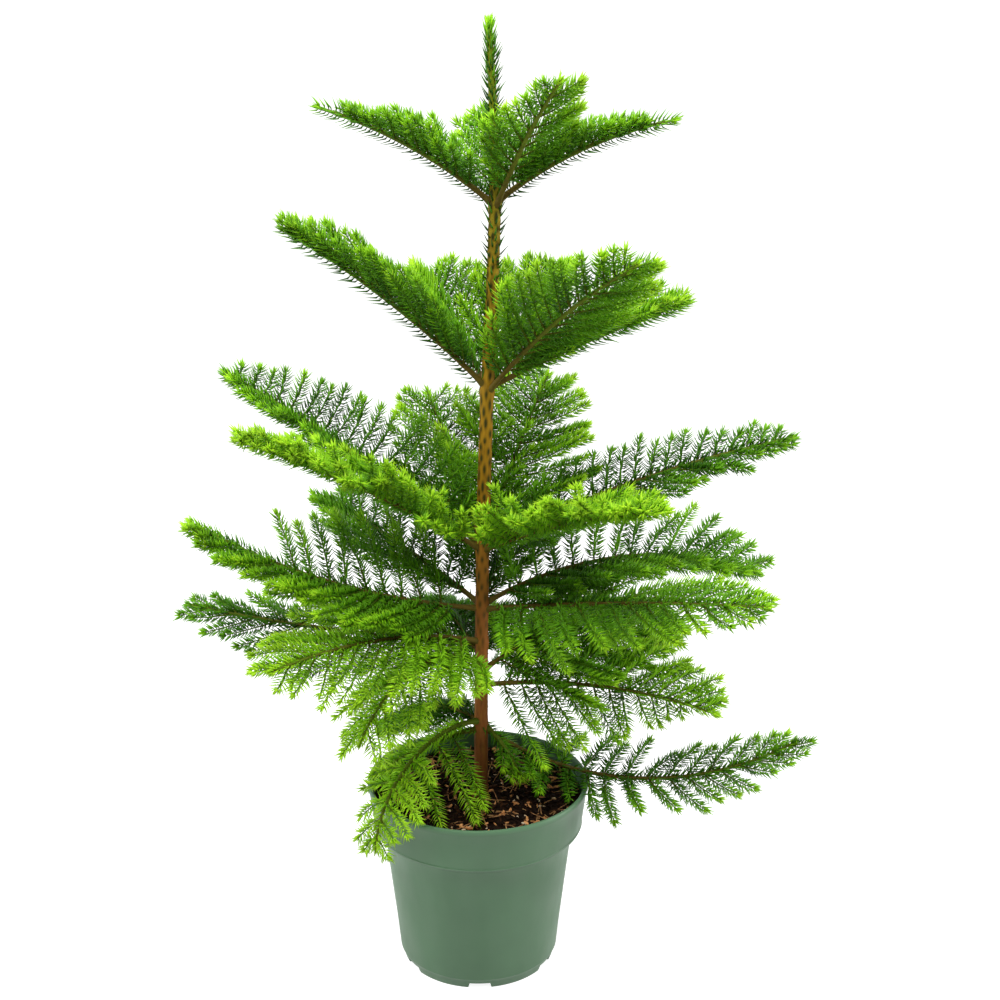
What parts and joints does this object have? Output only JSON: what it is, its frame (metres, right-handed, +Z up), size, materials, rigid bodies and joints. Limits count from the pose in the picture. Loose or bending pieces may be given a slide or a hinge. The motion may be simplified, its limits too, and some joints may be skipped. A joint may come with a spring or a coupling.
{
  "type": "potted norfolk island pine",
  "caption": "Young conifer in a round green nursery pot: straight leader with open tiers of drooping, needle-covered boughs standing on the flat pot base.",
  "frame": {"origin": "centre of the pot's flat underside", "axes": "+Z up along the trunk, -Y towards the viewer of the picture, +X to the right in the picture"},
  "size_m": [0.5658, 0.3637, 0.863],
  "materials": {
    "pot_plastic": "moulded sage green plastic with a satin sheen",
    "potting_soil": "loose dark potting mix with bark chips",
    "trunk_bark": "thin scaly orange-brown bark, green towards the leader",
    "bough_bark": "thin brown bark, green towards the tips",
    "needles": "soft curved green needles, lime at the young tips"
  },
  "bodies": {
    "root": {"pot": "pot_plastic", "soil": "potting_soil", "tier1_back_foliage": "needles", "tier1_front_bough": "bough_bark", "tier1_front_foliage": "needles", "tier1_left_bough": "bough_bark", "tier1_left_foliage": "needles", "tier1_right_bough": "bough_bark", "tier1_right_foliage": "needles", "tier2_back_left_bough": "bough_bark", "tier2_back_left_foliage": "needles", "tier2_back_right_bough": "bough_bark", "tier2_back_right_foliage": "needles", "tier2_front_bough": "bough_bark", "tier2_front_foliage": "needles", "tier2_left_bough": "bough_bark", "tier2_left_foliage": "needles", "tier2_right_bough": "bough_bark", "tier2_right_foliage": "needles", "tier3_back_bough": "bough_bark", "tier3_back_foliage": "needles", "tier3_back_left_bough": "bough_bark", "tier3_back_left_foliage": "needles", "tier3_front_bough": "bough_bark", "tier3_front_foliage": "needles", "tier3_front_left_bough": "bough_bark", "tier3_front_left_foliage": "needles", "tier3_left_bough": "bough_bark", "tier3_left_foliage": "needles", "tier3_right_bough": "bough_bark", "tier3_right_foliage": "needles", "tier4_back_bough": "bough_bark", "tier4_back_foliage": "needles", "tier4_back_left_bough": "bough_bark", "tier4_back_left_foliage": "needles", "tier4_front_bough": "bough_bark", "tier4_front_foliage": "needles", "tier4_left_bough": "bough_bark", "tier4_left_foliage": "needles", "tier4_right_bough": "bough_bark", "tier4_right_foliage": "needles", "tier5_back_foliage": "needles", "tier5_back_right_bough": "bough_bark", "tier5_back_right_foliage": "needles", "tier5_front_left_bough": "bough_bark", "tier5_front_left_foliage": "needles", "tier5_front_low_foliage": "needles", "tier5_left_bough": "bough_bark", "tier5_left_foliage": "needles", "tier5_right_bough": "bough_bark", "tier5_right_foliage": "needles", "tier6_back_foliage": "needles", "tier6_front_foliage": "needles", "tier6_front_right_foliage": "needles", "tier6_left_bough": "bough_bark", "tier6_left_foliage": "needles", "tier6_right_bough": "bough_bark", "tier6_right_foliage": "needles", "trunk": "trunk_bark"}
  },
  "joints": []
}
